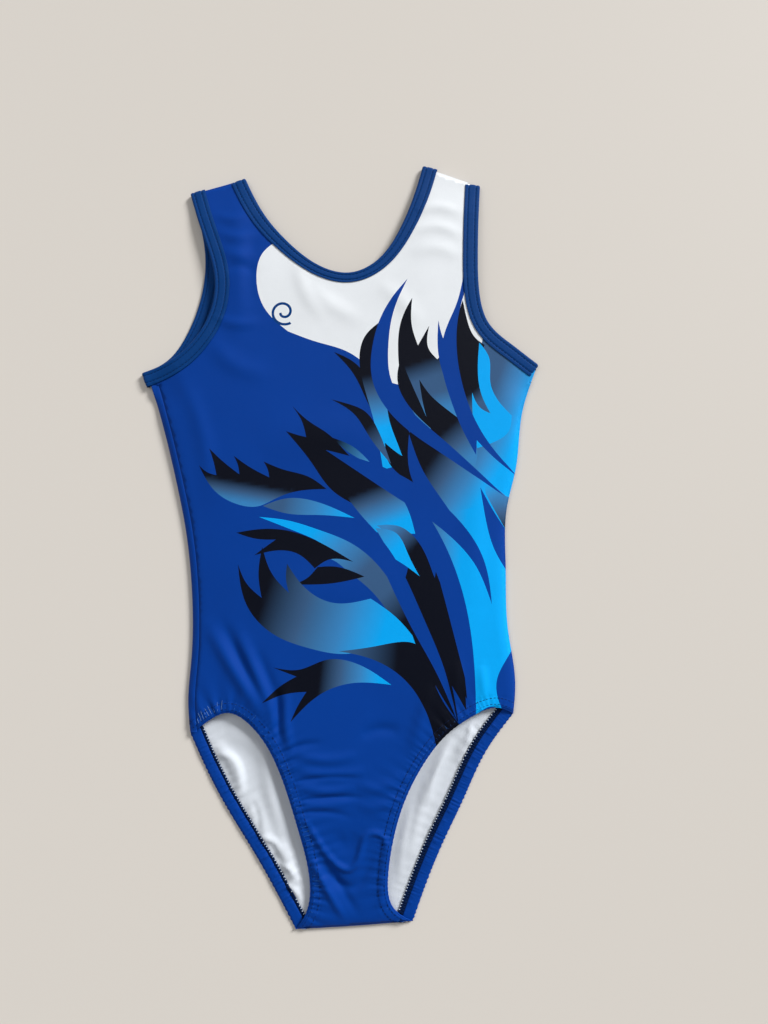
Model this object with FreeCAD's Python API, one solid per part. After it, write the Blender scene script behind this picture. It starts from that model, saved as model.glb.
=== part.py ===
"""Child's sleeveless gymnastics leotard, laid flat on its back with its front upwards.

Millimetres. +Z is up, +Y runs from the crotch to the shoulders, and +X is the wearer's left.
The origin is at the middle of the footprint, on the surface that the leotard lies on.
Left and right in the names are the wearer's own.

The back panel lies flat. The front panel is lofted over it like a shallow pillow, so that the
neck, the armholes and the legs stay open. Every free edge is a path drawn with the cloth on its
left, and trims are bands measured inwards from such a path.
"""

import FreeCAD
import Part
import math
import os

# Thicknesses
FABRIC = 0.6          # knitted polyester and elastane
BINDING = 0.5         # one layer of the folded binding
ELASTIC = 0.4         # rubber elastic sewn into an edge
LINING = 0.5          # gusset lining
THREAD = 0.2          # how far a row of stitches stands out of the cloth
SEAM = 0.8            # overlocked seam allowance

# Widths, measured inwards from a free edge
BINDING_WIDTH = 11.5
NECK_NARROWING = 3.5  # round the front scoop the neck binding rolls inwards, and shows this much less
FOLD = 1.0            # the cloth's cut edge stays this far inside the binding's fold
HEM_WIDTH = 8.0       # leg hem turned to the inside over its elastic
HEM_OVERLOCK = 3.5    # overlocked raw edge of the same hem
ELASTIC_INSET = 1.2
ELASTIC_WIDTH = 6.0
STITCH_ROW = 0.5      # width of one row of stitches
BINDING_ROWS = (3.0, 8.6)
NECK_ROWS = (2.4, 6.6)
HEM_ROWS = (2.6, 7.0)
SEAM_WIDTH = 4.5
SEAM_SHIFT = 5.5      # the right side seam lies this far onto the front

# Heights
LOFT = 6.0            # how far the front panel arches above its edges
SEAM_GAP = 2.6        # space that the thick edges need between the panels
HALF_LENGTH = 240.0   # the arch halves at this distance from the middle, lengthways
WAIST_HALF = 100.0    # and at these distances across
CHEST_HALF = 132.0

# Corners, as (x, y)
NECK_LEFT, NECK_RIGHT = (68, 280), (-69, 274.5)
SHOULDER_LEFT, SHOULDER_RIGHT = (111.5, 262.5), (-111.5, 263.5)
ARMPIT_LEFT, ARMPIT_RIGHT = (149, 121), (-149, 124)
CUFF_LEFT, CUFF_RIGHT = (143.5, 107.5), (-141, 109.5)
HIP_LEFT, HIP_RIGHT = (118.5, -136), (-115, -143)
CROTCH_LEFT, CROTCH_RIGHT = (41, -277), (-42, -280)

# Free edges of the front panel
FRONT_NECK = [NECK_LEFT, (61, 258), (49, 230), (31, 205), (10, 195.5), (-12, 201),
              (-35, 219.5), (-55, 245), NECK_RIGHT]
FRONT_ARM_RIGHT = [SHOULDER_RIGHT, (-105, 240), (-98, 218), (-93, 195), (-96, 170),
                   (-107, 150), (-126, 133), ARMPIT_RIGHT]
FRONT_ARM_LEFT = [ARMPIT_LEFT, (130, 136), (113, 153), (107, 176), (107, 205),
                  (109, 236), SHOULDER_LEFT]
FRONT_LEG_RIGHT = [HIP_RIGHT, (-106, -137), (-87, -128.5), (-70, -138.5), (-51, -170),
                   (-38, -212), (-31, -248), (-34, -268), CROTCH_RIGHT]
FRONT_LEG_LEFT = [CROTCH_LEFT, (27, -266), (24.5, -245), (28, -224), (36, -198), (51, -170),
                  (70, -148), (90, -135.5), (107, -131), HIP_LEFT]

# Free edges of the back panel
BACK_NECK = [NECK_LEFT, (60, 250), (48, 208), (28, 176), (0, 166), (-28, 178),
             (-50, 212), (-63, 250), NECK_RIGHT]
BACK_ARM_RIGHT = [SHOULDER_RIGHT, (-104, 236), (-101, 211), (-105, 180), (-115, 154),
                  (-131, 133), ARMPIT_RIGHT]
BACK_ARM_LEFT = [ARMPIT_LEFT, (127, 133), (109, 151), (102.5, 176), (102, 205),
                 (106, 238), SHOULDER_LEFT]
BACK_LEG_RIGHT = [HIP_RIGHT, (-104, -168), (-87, -200), (-70, -228), (-55, -255), CROTCH_RIGHT]
BACK_LEG_LEFT = [CROTCH_LEFT, (50, -255), (65, -223), (80, -195), (97, -163), HIP_LEFT]

# Edges that both panels share
SIDE_RIGHT = [CUFF_RIGHT, (-134, 84), (-125, 45), (-117, 2), (-113, -45), (-114, -90),
              (-116.5, -120), HIP_RIGHT]
SIDE_LEFT = [HIP_LEFT, (121, -114), (117.5, -75), (118, -30), (121, 14), (129, 43),
             (135.5, 84), CUFF_LEFT]
CROTCH = [CROTCH_RIGHT, (0, -279), CROTCH_LEFT]
STRAP_RIGHT = [NECK_RIGHT, SHOULDER_RIGHT]
STRAP_LEFT = [SHOULDER_LEFT, NECK_LEFT]
UNDERARM_RIGHT = [ARMPIT_RIGHT, CUFF_RIGHT]
UNDERARM_LEFT = [CUFF_LEFT, ARMPIT_LEFT]

# The gusset lining reaches up to these values of y
LINING_FRONT, LINING_BACK = -196.0, -214.0

SKY = 40.0            # higher than everything
SAMPLES = 15          # points that carry an offset curve
RUN_ON = 9.0          # strips run on this far past the ends of their paths, to be trimmed later
OUT = -2.0            # and this far outside a free edge

# Levels of the layers. On the back the bound edges step up to make room for the binding under them
RAISED = (BINDING, BINDING + FABRIC)
BACK_ELASTIC = (RAISED[1], RAISED[1] + ELASTIC)
BACK_TOP = BACK_ELASTIC[1] + BINDING
FRONT_INSIDE = -ELASTIC - BINDING
BACK_HEM_ELASTIC = (FABRIC, FABRIC + ELASTIC)
BACK_FLAP = (BACK_HEM_ELASTIC[1], BACK_HEM_ELASTIC[1] + FABRIC)
FRONT_FLAP = (-ELASTIC - FABRIC, -ELASTIC)


def loft(x, y):
    """Underside of the front panel above the surface that the leotard lies on."""
    rise = min(max((y + 20) / 145, 0), 1)
    half = WAIST_HALF + (CHEST_HALF - WAIST_HALF) * rise * rise * (3 - 2 * rise)
    arch = 1 / (1 + (x / half) ** 6) / (1 + (y / HALF_LENGTH) ** 12)
    return FABRIC + SEAM_GAP + LOFT * arch


def front_surface():
    """The front panel's underside as one smooth face, a little larger than the leotard."""
    xs = [-156 + 312 * i / 8 for i in range(9)]
    ys = [-288 + 576 * j / 14 for j in range(15)]
    grid = [[FreeCAD.Vector(x, y, loft(x, y)) for y in ys] for x in xs]
    surface = Part.BSplineSurface()
    surface.interpolate(grid)
    return surface.toShape()


def curve(points):
    """A smooth curve through (x, y) points."""
    spline = Part.BSplineCurve()
    spline.interpolate([FreeCAD.Vector(x, y, 0) for x, y in points])
    return spline


def straight(start, end):
    return Part.makeLine(FreeCAD.Vector(*start, 0), FreeCAD.Vector(*end, 0))


def offset(points, distance):
    """The path moved to its left, and run on past both ends. The distance is a number, or a
    function of the share of the way."""
    spline = curve(points)
    first, last = spline.FirstParameter, spline.LastParameter
    moved = []
    for i in range(SAMPLES):
        share = i / (SAMPLES - 1)
        at = first + share * (last - first)
        place, ahead = spline.value(at), spline.tangent(at)[0]
        far = distance(share) if callable(distance) else distance
        moved.append((place.x - ahead.y * far, place.y + ahead.x * far))
    before, after = spline.tangent(first)[0], spline.tangent(last)[0]
    start = (moved[0][0] - RUN_ON * before.x, moved[0][1] - RUN_ON * before.y)
    end = (moved[-1][0] + RUN_ON * after.x, moved[-1][1] + RUN_ON * after.y)
    return [start] + moved + [end]


def area(*paths):
    """The level region that the paths enclose, end to end. Gaps are closed by lines."""
    edges = []
    for i, points in enumerate(paths):
        edges.append(curve(points).toShape() if len(points) > 2 else straight(*points))
        following = paths[(i + 1) % len(paths)][0]
        if math.dist(points[-1], following) > 1e-6:
            edges.append(straight(points[-1], following))
    return Part.Face(Part.Wire(Part.__sortEdges__(edges)))


def strip(points, near, far):
    """The region between two distances inwards from a path."""
    return area(offset(points, near), offset(points, far)[::-1])


def below(top):
    """Everything on the crotch's side of a value of y."""
    return area([(-165, -300), (165, -300)], [(165, top), (-165, top)])


def neck_width(share):
    """Width of the neck binding on the front, narrower round the scoop than on the straps."""
    return BINDING_WIDTH - NECK_NARROWING * math.sin(math.pi * share) ** 2


FRONT_FACE = front_surface()
FRONT = area(FRONT_NECK, STRAP_RIGHT, FRONT_ARM_RIGHT, UNDERARM_RIGHT, SIDE_RIGHT,
             FRONT_LEG_RIGHT, CROTCH, FRONT_LEG_LEFT, SIDE_LEFT, UNDERARM_LEFT,
             FRONT_ARM_LEFT, STRAP_LEFT)
BACK = area(BACK_NECK, STRAP_RIGHT, BACK_ARM_RIGHT, UNDERARM_RIGHT, SIDE_RIGHT,
            BACK_LEG_RIGHT, CROTCH, BACK_LEG_LEFT, SIDE_LEFT, UNDERARM_LEFT,
            BACK_ARM_LEFT, STRAP_LEFT)
BOTH = FRONT.common(BACK)

# Each opening: front path, back path, width on the front, width on the back, and the edges where
# its front half and its back half meet
BOUND = {
    "neck": (FRONT_NECK, BACK_NECK, neck_width, BINDING_WIDTH, (STRAP_RIGHT, STRAP_LEFT)),
    "armhole_left": (FRONT_ARM_LEFT, BACK_ARM_LEFT, BINDING_WIDTH, BINDING_WIDTH,
                     (STRAP_LEFT, UNDERARM_LEFT)),
    "armhole_right": (FRONT_ARM_RIGHT, BACK_ARM_RIGHT, BINDING_WIDTH, BINDING_WIDTH,
                      (STRAP_RIGHT, UNDERARM_RIGHT)),
}
REACH = HEM_WIDTH + HEM_OVERLOCK
LEGS = {
    "left": (FRONT_LEG_LEFT, BACK_LEG_LEFT, REACH, REACH, (SIDE_LEFT, CROTCH)),
    "right": (FRONT_LEG_RIGHT, BACK_LEG_RIGHT, REACH, REACH, (SIDE_RIGHT, CROTCH)),
}
FRONT_ZONE = {name: strip(way[0], OUT, way[2]) for name, way in (BOUND | LEGS).items()}
BACK_ZONE = {name: strip(way[1], OUT, way[3]) for name, way in (BOUND | LEGS).items()}
CAPS = {name: [strip(end, OUT, BINDING).common(FRONT_ZONE[name]).common(BOTH) for end in way[4]]
        for name, way in BOUND.items()}
LINKS = {name: [strip(way[0], ELASTIC_INSET, ELASTIC_INSET + ELASTIC_WIDTH)
                .common(strip(end, FABRIC, 2 * FABRIC)).common(BOTH) for end in way[4]]
         for name, way in (BOUND | LEGS).items()}


def flat(low, high, region):
    """A level sheet over a region, between two heights above the ground."""
    sheet = region.copy()
    sheet.translate(FreeCAD.Vector(0, 0, low))
    return sheet.extrude(FreeCAD.Vector(0, 0, high - low))


def draped(region):
    """A level region carried up onto the front panel's underside."""
    return FRONT_FACE.common(region.extrude(FreeCAD.Vector(0, 0, SKY)))


def lifted(cover, low, high):
    """A sheet from a draped region, between two heights above the front panel's underside."""
    sheet = cover.copy()
    sheet.translate(FreeCAD.Vector(0, 0, low))
    return sheet.extrude(FreeCAD.Vector(0, 0, high - low))


def wall(low, high, region):
    """A wall over a region, from a level up to a height above the front panel's underside."""
    face = FRONT_FACE.copy()
    face.translate(FreeCAD.Vector(0, 0, high))
    return flat(low, SKY, region).cut(face.extrude(FreeCAD.Vector(0, 0, 2 * SKY)))


def joined(shapes):
    """The shapes as one solid."""
    return shapes[0].fuse(shapes[1:]).removeSplitter()


def front_panel():
    """Front panel with its leg hems turned under, folded down to the back along its left side,
    the shoulders and the crotch."""
    side = strip(SIDE_RIGHT, OUT, SEAM_SHIFT)
    caps = [cap for found in CAPS.values() for cap in found]
    folds = [strip(way[0], OUT, FOLD) for way in BOUND.values()]
    parts = [lifted(draped(FRONT.cut(folds + caps + [side])), 0, FABRIC)]
    bound = [FRONT_ZONE[name] for name in BOUND]
    for path in (SIDE_LEFT, STRAP_LEFT, STRAP_RIGHT, CROTCH):
        rim = strip(path, OUT, FABRIC).common(BOTH).cut(bound + [side])
        parts.append(wall(FABRIC, FABRIC, rim))
    for leg, (front, _, _, _, _) in LEGS.items():
        flap = strip(front, OUT, HEM_WIDTH).common(FRONT).cut(LINKS[leg] + [side])
        parts.append(lifted(draped(flap), *FRONT_FLAP))
        fold = strip(front, OUT, FABRIC).common(FRONT).cut(side)
        parts.append(lifted(draped(fold), FRONT_FLAP[0], FABRIC))
    return joined(parts)


def back_panel():
    """Back panel with its leg hems turned up, and its right side brought over onto the front."""
    caps = [cap for found in CAPS.values() for cap in found]
    parts = [flat(0, FABRIC, BACK.cut([BACK_ZONE[name] for name in BOUND]))]
    for _, back, _, width, _ in BOUND.values():
        edge = strip(back, FOLD, width + FABRIC).common(BACK).cut(caps)
        parts.append(flat(*RAISED, edge))
        parts.append(flat(0, RAISED[1], strip(back, width, width + FABRIC).common(edge)))
    bound = [FRONT_ZONE[name] for name in BOUND]
    parts.append(lifted(draped(strip(SIDE_RIGHT, OUT, SEAM_SHIFT).common(FRONT).cut(bound)), 0, FABRIC))
    parts.append(wall(0, FABRIC, strip(SIDE_RIGHT, OUT, FABRIC).common(BOTH).cut(bound)))
    for leg, (_, back, _, _, _) in LEGS.items():
        flap = strip(back, OUT, HEM_WIDTH).common(BACK).cut(LINKS[leg])
        parts.append(flat(*BACK_FLAP, flap))
        parts.append(flat(0, BACK_FLAP[1], strip(back, OUT, FABRIC).common(BACK)))
    return joined(parts)


def elastic(name, way, back_levels):
    """Elastic in an edge: its front half, its back half, and a link wherever the two meet."""
    front, back, _, _, ends = way
    outside = [strip(end, OUT, FABRIC) for end in ends]
    near, far = ELASTIC_INSET, ELASTIC_INSET + ELASTIC_WIDTH
    parts = [lifted(draped(strip(front, near, far).common(FRONT).cut(outside)), -ELASTIC, 0),
             flat(*back_levels, strip(back, near, far).common(BACK).cut(outside))]
    return joined(parts + [wall(back_levels[0], 0, link) for link in LINKS[name]])


def binding(name):
    """Folded binding round an opening, with an outer layer, an inner layer and a fold."""
    front, back, _, _, _ = BOUND[name]
    outer = draped(FRONT_ZONE[name].common(FRONT))
    inner = draped(FRONT_ZONE[name].common(FRONT).cut(LINKS[name]))
    fold = draped(strip(front, OUT, FOLD).common(FRONT))
    parts = [lifted(outer, FABRIC, FABRIC + BINDING), lifted(inner, FRONT_INSIDE, -ELASTIC),
             lifted(fold, FRONT_INSIDE, FABRIC + BINDING),
             flat(0, BINDING, BACK_ZONE[name].common(BACK)),
             flat(BACK_ELASTIC[1], BACK_TOP, BACK_ZONE[name].common(BACK).cut(LINKS[name])),
             flat(0, BACK_TOP, strip(back, OUT, FOLD).common(BACK))]
    return joined(parts + [wall(0, FABRIC + BINDING, cap) for cap in CAPS[name]])


def rows(way, starts, front_level, back_level):
    """Needle rows along an opening, on the front's outside and on the back's inside."""
    found = []
    for start in starts:
        row = draped(strip(way[0], start, start + STITCH_ROW).common(FRONT))
        found.append(lifted(row, front_level, front_level + THREAD))
        row = strip(way[1], start, start + STITCH_ROW).common(BACK)
        found.append(flat(back_level, back_level + THREAD, row))
    return Part.makeCompound(found)


def overlock(way):
    """Thread over the raw edge of a leg hem, front and back."""
    ends = [strip(end, OUT, FABRIC) for end in way[4]]
    front = strip(way[0], HEM_WIDTH, REACH).common(FRONT).cut(ends + [strip(SIDE_RIGHT, OUT, SEAM_SHIFT)])
    back = strip(way[1], HEM_WIDTH, REACH).common(BACK).cut(ends)
    return Part.makeCompound([lifted(draped(front), *FRONT_FLAP), flat(*BACK_FLAP, back)])


def gusset_lining():
    """Lining between the leg hems, folded round the crotch."""
    hems = [FRONT_ZONE[leg] for leg in LEGS] + [BACK_ZONE[leg] for leg in LEGS]
    rim = strip(CROTCH, OUT, FABRIC)
    front = FRONT.common(below(LINING_FRONT)).cut([FRONT_ZONE[leg] for leg in LEGS] + [rim])
    back = BACK.common(below(LINING_BACK)).cut([BACK_ZONE[leg] for leg in LEGS] + [rim])
    turn = strip(CROTCH, FABRIC, FABRIC + LINING).common(BOTH).cut(hems)
    return joined([lifted(draped(front), -LINING, 0), flat(FABRIC, FABRIC + LINING, back),
                   wall(FABRIC, 0, turn)])


def allowance(path, near, level):
    """Overlocked allowance of a seam, lying on the inside of the back panel."""
    edges = list(FRONT_ZONE.values()) + list(BACK_ZONE.values())
    return flat(level, level + SEAM, strip(path, near, near + SEAM_WIDTH).common(BOTH).cut(edges))


def right_side_allowance():
    """Overlocked allowance of the right side seam, under the front."""
    middle = SEAM_SHIFT - SEAM_WIDTH / 2
    run = strip(SIDE_RIGHT, middle, middle + SEAM_WIDTH).common(FRONT).cut(list(FRONT_ZONE.values()))
    return lifted(draped(run), -SEAM, 0)


def write(name, shape):
    """Writes one node and prints what it holds."""
    solids = [s for s in shape.Solids if s.Volume > 0.3]
    Part.makeCompound(solids).exportStep(f"parts/{name}.step")
    volume = sum(s.Volume for s in solids)
    print(f"{name}: {len(solids)} solids, {volume:.0f} mm3, valid {shape.isValid()}", flush=True)


def main():
    os.makedirs("parts", exist_ok=True)
    write("front_panel", front_panel())
    write("back_panel", back_panel())
    write("gusset_lining", gusset_lining())
    for name, way in BOUND.items():
        kind, _, side = name.partition("_")
        tail = f"_{side}" if side else ""
        write(f"{kind}_binding{tail}", binding(name))
        write(f"{kind}_elastic{tail}", elastic(name, way, BACK_ELASTIC))
        starts = NECK_ROWS if kind == "neck" else BINDING_ROWS
        write(f"{kind}_topstitch{tail}", rows(way, starts, FABRIC + BINDING, BACK_TOP))
    for side, way in LEGS.items():
        write(f"leg_elastic_{side}", elastic(side, way, BACK_HEM_ELASTIC))
        write(f"leg_overlock_{side}", overlock(way))
        write(f"leg_topstitch_{side}", rows(way, HEM_ROWS, FABRIC, BACK_FLAP[1]))
    write("side_seam_left", allowance(SIDE_LEFT, FABRIC, FABRIC))
    write("side_seam_right", right_side_allowance())
    write("shoulder_seam_left", allowance(STRAP_LEFT, FABRIC, FABRIC))
    write("shoulder_seam_right", allowance(STRAP_RIGHT, FABRIC, FABRIC))
    write("crotch_seam", allowance(CROTCH, FABRIC + LINING, FABRIC + LINING))


main()
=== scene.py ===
"""Looks of a child's sleeveless gymnastics leotard, laid flat on its back with its front upwards.

Lengths in this file are millimetres, in the frame of the CAD model, and become metres when a mesh
is made. +Z is up, +Y runs from the crotch to the shoulders, and +X is the wearer's left.
Every edge is drawn with the cloth on its left. A place on the cloth is often given by three
numbers: how far along an edge, how far inwards from it, and how far out of the cloth.
"""

import math

import bpy
import numpy as np
from mathutils import Matrix, Vector
from mathutils.geometry import delaunay_2d_cdt


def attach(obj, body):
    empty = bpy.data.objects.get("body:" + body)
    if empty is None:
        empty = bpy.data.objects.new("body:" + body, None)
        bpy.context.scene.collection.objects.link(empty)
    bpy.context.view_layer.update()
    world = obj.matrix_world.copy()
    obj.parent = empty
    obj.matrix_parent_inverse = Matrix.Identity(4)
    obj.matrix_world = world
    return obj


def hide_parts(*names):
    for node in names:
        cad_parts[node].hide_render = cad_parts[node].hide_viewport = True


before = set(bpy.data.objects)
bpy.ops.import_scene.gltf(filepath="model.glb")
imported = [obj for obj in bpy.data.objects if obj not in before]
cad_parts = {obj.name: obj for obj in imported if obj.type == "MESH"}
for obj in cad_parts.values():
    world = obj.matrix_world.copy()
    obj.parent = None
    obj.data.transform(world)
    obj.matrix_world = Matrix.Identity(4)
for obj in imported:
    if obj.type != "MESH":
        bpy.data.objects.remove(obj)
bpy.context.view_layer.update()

MM = 0.001

# Edges of the two panels, as in the CAD source
NECK_LEFT, NECK_RIGHT = (68, 280), (-69, 274.5)
SHOULDER_LEFT, SHOULDER_RIGHT = (111.5, 262.5), (-111.5, 263.5)
ARMPIT_LEFT, ARMPIT_RIGHT = (149, 121), (-149, 124)
CUFF_LEFT, CUFF_RIGHT = (143.5, 107.5), (-141, 109.5)
HIP_LEFT, HIP_RIGHT = (118.5, -136), (-115, -143)
CROTCH_LEFT, CROTCH_RIGHT = (41, -277), (-42, -280)

# Thicknesses and widths
FABRIC = 0.6
BINDING = 0.5
BINDING_WIDTH = 11.5
NECK_NARROWING = 3.5
FOLD = 1.0
HEM_WIDTH = 8.0
OVERLOCK_WIDTH = {"left": 4.3, "right": 2.7}
ELASTIC = (1.2, 7.2)
BINDING_ROWS = (3.0, 8.6)  # how far in the rows of stitches lie
NECK_ROWS = (3.2, 8.6)
HEM_ROWS = (2.6, 7.0)
ROW_DIP = 0.6              # width of the dip that a row of stitches pulls into the cloth
STITCH = 2.3
STITCH_GAP = 0.5
THREAD, FINE_THREAD, LOOP_THREAD = 0.22, 0.11, 0.36
SIDE_WRAP = 5.5            # the right side seam lies this far onto the front
HALF = FABRIC / 2
ELASTIC_ROOM = 0.4         # left under the cloth for the elastic, in bindings and hems
UNDER = -HALF - ELASTIC_ROOM

# Heights of the middle of the cloth
FRONT_EDGE = 3.3           # front panel where its thick edges lie on those of the back
FRONT_ARCH = 4.6
SEAM_FRONT, SEAM_BACK = 1.3, 0.7
BACK_FLAT = 0.35
BACK_IN_BINDING = 0.88     # back panel inside its bindings
FRONT_CREASING = 1.5       # how strongly the listed folds show
BACK_CREASING = 1.9
SEAM_ROLL = 9.0            # how far in the front starts to roll down to a seam
SEAM_DIP = 0.35

GRID = 3.0                 # spacing of the cloth's vertices
FINE_GRID = 1.7            # and below this value of y, where it is folded more
FOLDED_BELOW = -60.0
FINE = 0.9                 # spacing along the gathered edges
HEM_REACH = 14.0           # how far in from them that spacing is used
GATHER_REACH = 34.0        # how far in their ripples run
FAR = 60.0                 # distances from an edge are measured up to this


# ---------------------------------------------------------------- curves and edges

def unit(rows):
    """Each row as a direction of length 1."""
    return rows / np.linalg.norm(rows, axis=-1, keepdims=True)


def left_of(ahead):
    """The directions to the left of those ahead, which along an edge is inwards."""
    return np.stack([-ahead[:, 1], ahead[:, 0]], 1)


def raised(xy, heights):
    """Places on the plan with their heights."""
    return np.concatenate([xy, heights[..., None]], -1)


def travelled(points):
    """How far along a row of points each one lies."""
    return np.concatenate([[0], np.cumsum(np.linalg.norm(np.diff(points, axis=0), axis=1))])


def portions(numbers):
    """The numbers in several portions, so that a table of each with every edge point stays small."""
    return np.array_split(numbers, max(1, len(numbers) // 4000))


def smooth(points, step=1.0):
    """Points about every step along a natural cubic spline through the given ones."""
    points = np.array(points, float)
    if len(points) == 2:
        count = max(2, int(math.dist(*points) / step) + 1)
        return points[0] + np.linspace(0, 1, count)[:, None] * (points[1] - points[0])
    knots = travelled(points)
    chords = np.linalg.norm(np.diff(points, axis=0), axis=1)
    count = len(points)
    system = np.eye(count)
    right = np.zeros((count, 2))
    for i in range(1, count - 1):
        before, after = chords[i - 1], chords[i]
        system[i, i - 1:i + 2] = before, 2 * (before + after), after
        right[i] = 6 * ((points[i + 1] - points[i]) / after - (points[i] - points[i - 1]) / before)
    bend = np.linalg.solve(system, right)
    at = np.linspace(0, knots[-1], max(3, int(knots[-1] / step) + 1))
    i = np.clip(np.searchsorted(knots, at, side="right") - 1, 0, count - 2)
    width = chords[i][:, None]
    left, rest = (at - knots[i])[:, None], (knots[i + 1] - at)[:, None]
    curve = (bend[i] * rest ** 3 + bend[i + 1] * left ** 3) / (6 * width)
    curve += (points[i] / width - bend[i] * width / 6) * rest
    return curve + (points[i + 1] / width - bend[i + 1] * width / 6) * left


class Edge:
    """One edge of the cloth."""

    def __init__(self, *points):
        self.xy = smooth(points)
        self.at = travelled(self.xy)
        self.length = self.at[-1]
        self.ahead = unit(np.gradient(self.xy, self.at, axis=0))

    def place(self, along):
        """Points and directions at distances along the edge, which may run past its ends."""
        along = np.atleast_1d(along)
        xy = np.stack([np.interp(along, self.at, column) for column in self.xy.T], 1)
        ahead = unit(np.stack([np.interp(along, self.at, column) for column in self.ahead.T], 1))
        past = along - np.clip(along, 0, self.length)
        return xy + ahead * past[:, None], ahead

    def inside(self, along, inwards):
        """Points at distances along the edge and inwards from it."""
        xy, ahead = self.place(along)
        return xy + left_of(ahead) * np.reshape(inwards, (-1, 1))

    def near(self, xy, reach=FAR):
        """For each point, how far along the edge it is and how far inwards, which is negative on
        the outside. Points further off than reach get that distance, and a point past an end
        counts as inside."""
        along = np.zeros(len(xy))
        inwards = np.full(len(xy), reach)
        low, high = self.xy.min(0) - reach, self.xy.max(0) + reach
        chosen = np.where(((xy > low) & (xy < high)).all(1))[0]
        start, run = self.xy[:-1], np.diff(self.xy, axis=0)
        square = (run ** 2).sum(1)
        for part in portions(chosen):
            gap = xy[part][:, None, :] - start[None]
            share = np.clip((gap * run).sum(2) / square, 0, 1)
            off = gap - share[..., None] * run
            distance = np.linalg.norm(off, axis=2)
            best = distance.argmin(1)
            row = np.arange(len(part))
            cross = run[best, 0] * gap[row, best, 1] - run[best, 1] * gap[row, best, 0]
            at = self.at[best] + share[row, best] * np.sqrt(square[best])
            outside = (cross < 0) & (at > 1e-6) & (at < self.length - 1e-6)
            along[part] = at
            inwards[part] = np.minimum(distance[row, best], reach) * np.where(outside, -1, 1)
        return along, inwards


FRONT_NECK = Edge(NECK_LEFT, (61, 258), (49, 230), (31, 205), (10, 195.5), (-12, 201),
                  (-35, 219.5), (-55, 245), NECK_RIGHT)
FRONT_ARM_RIGHT = Edge(SHOULDER_RIGHT, (-105, 240), (-98, 218), (-93, 195), (-96, 170),
                       (-107, 150), (-126, 133), ARMPIT_RIGHT)
FRONT_ARM_LEFT = Edge(ARMPIT_LEFT, (130, 136), (113, 153), (107, 176), (107, 205), (109, 236),
                      SHOULDER_LEFT)
FRONT_LEG_RIGHT = Edge(HIP_RIGHT, (-106, -137), (-87, -128.5), (-70, -138.5), (-51, -170),
                       (-38, -212), (-31, -248), (-34, -268), CROTCH_RIGHT)
FRONT_LEG_LEFT = Edge(CROTCH_LEFT, (27, -266), (24.5, -245), (28, -224), (36, -198), (51, -170),
                      (70, -148), (90, -135.5), (107, -131), HIP_LEFT)
BACK_NECK = Edge(NECK_LEFT, (60, 250), (48, 208), (28, 176), (0, 166), (-28, 178), (-50, 212),
                 (-63, 250), NECK_RIGHT)
BACK_ARM_RIGHT = Edge(SHOULDER_RIGHT, (-104, 236), (-101, 211), (-105, 180), (-115, 154),
                      (-131, 133), ARMPIT_RIGHT)
BACK_ARM_LEFT = Edge(ARMPIT_LEFT, (127, 133), (109, 151), (102.5, 176), (102, 205), (106, 238),
                     SHOULDER_LEFT)
BACK_LEG_RIGHT = Edge(HIP_RIGHT, (-104, -168), (-87, -200), (-70, -228), (-55, -255), CROTCH_RIGHT)
BACK_LEG_LEFT = Edge(CROTCH_LEFT, (50, -255), (65, -223), (80, -195), (97, -163), HIP_LEFT)
SIDE_RIGHT = Edge(CUFF_RIGHT, (-134, 84), (-125, 45), (-117, 2), (-113, -45), (-114, -90),
                  (-116.5, -120), HIP_RIGHT)
SIDE_LEFT = Edge(HIP_LEFT, (121, -114), (117.5, -75), (118, -30), (121, 14), (129, 43),
                 (135.5, 84), CUFF_LEFT)
CROTCH = Edge(CROTCH_RIGHT, (0, -279), CROTCH_LEFT)
STRAP_RIGHT, STRAP_LEFT = Edge(NECK_RIGHT, SHOULDER_RIGHT), Edge(SHOULDER_LEFT, NECK_LEFT)
UNDERARM_RIGHT, UNDERARM_LEFT = Edge(ARMPIT_RIGHT, CUFF_RIGHT), Edge(CUFF_LEFT, ARMPIT_LEFT)

FRONT_OUTLINE = (FRONT_NECK, STRAP_RIGHT, FRONT_ARM_RIGHT, UNDERARM_RIGHT, SIDE_RIGHT,
                 FRONT_LEG_RIGHT, CROTCH, FRONT_LEG_LEFT, SIDE_LEFT, UNDERARM_LEFT,
                 FRONT_ARM_LEFT, STRAP_LEFT)
BACK_OUTLINE = (BACK_NECK, STRAP_RIGHT, BACK_ARM_RIGHT, UNDERARM_RIGHT, SIDE_RIGHT,
                BACK_LEG_RIGHT, CROTCH, BACK_LEG_LEFT, SIDE_LEFT, UNDERARM_LEFT,
                BACK_ARM_LEFT, STRAP_LEFT)
FRONT_HEMS, BACK_HEMS = (FRONT_LEG_RIGHT, FRONT_LEG_LEFT), (BACK_LEG_RIGHT, BACK_LEG_LEFT)
FRONT_BOUND = (FRONT_NECK, FRONT_ARM_RIGHT, FRONT_ARM_LEFT)
BACK_BOUND = (BACK_NECK, BACK_ARM_RIGHT, BACK_ARM_LEFT)
THICK_EDGES = (STRAP_RIGHT, STRAP_LEFT, UNDERARM_RIGHT, UNDERARM_LEFT)
SEAMED_EDGES = (SIDE_RIGHT, SIDE_LEFT, CROTCH)


def ring(edges):
    """The outline that the edges enclose, as one closed row of points."""
    return np.concatenate([edge.xy[:-1] for edge in edges])


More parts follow.
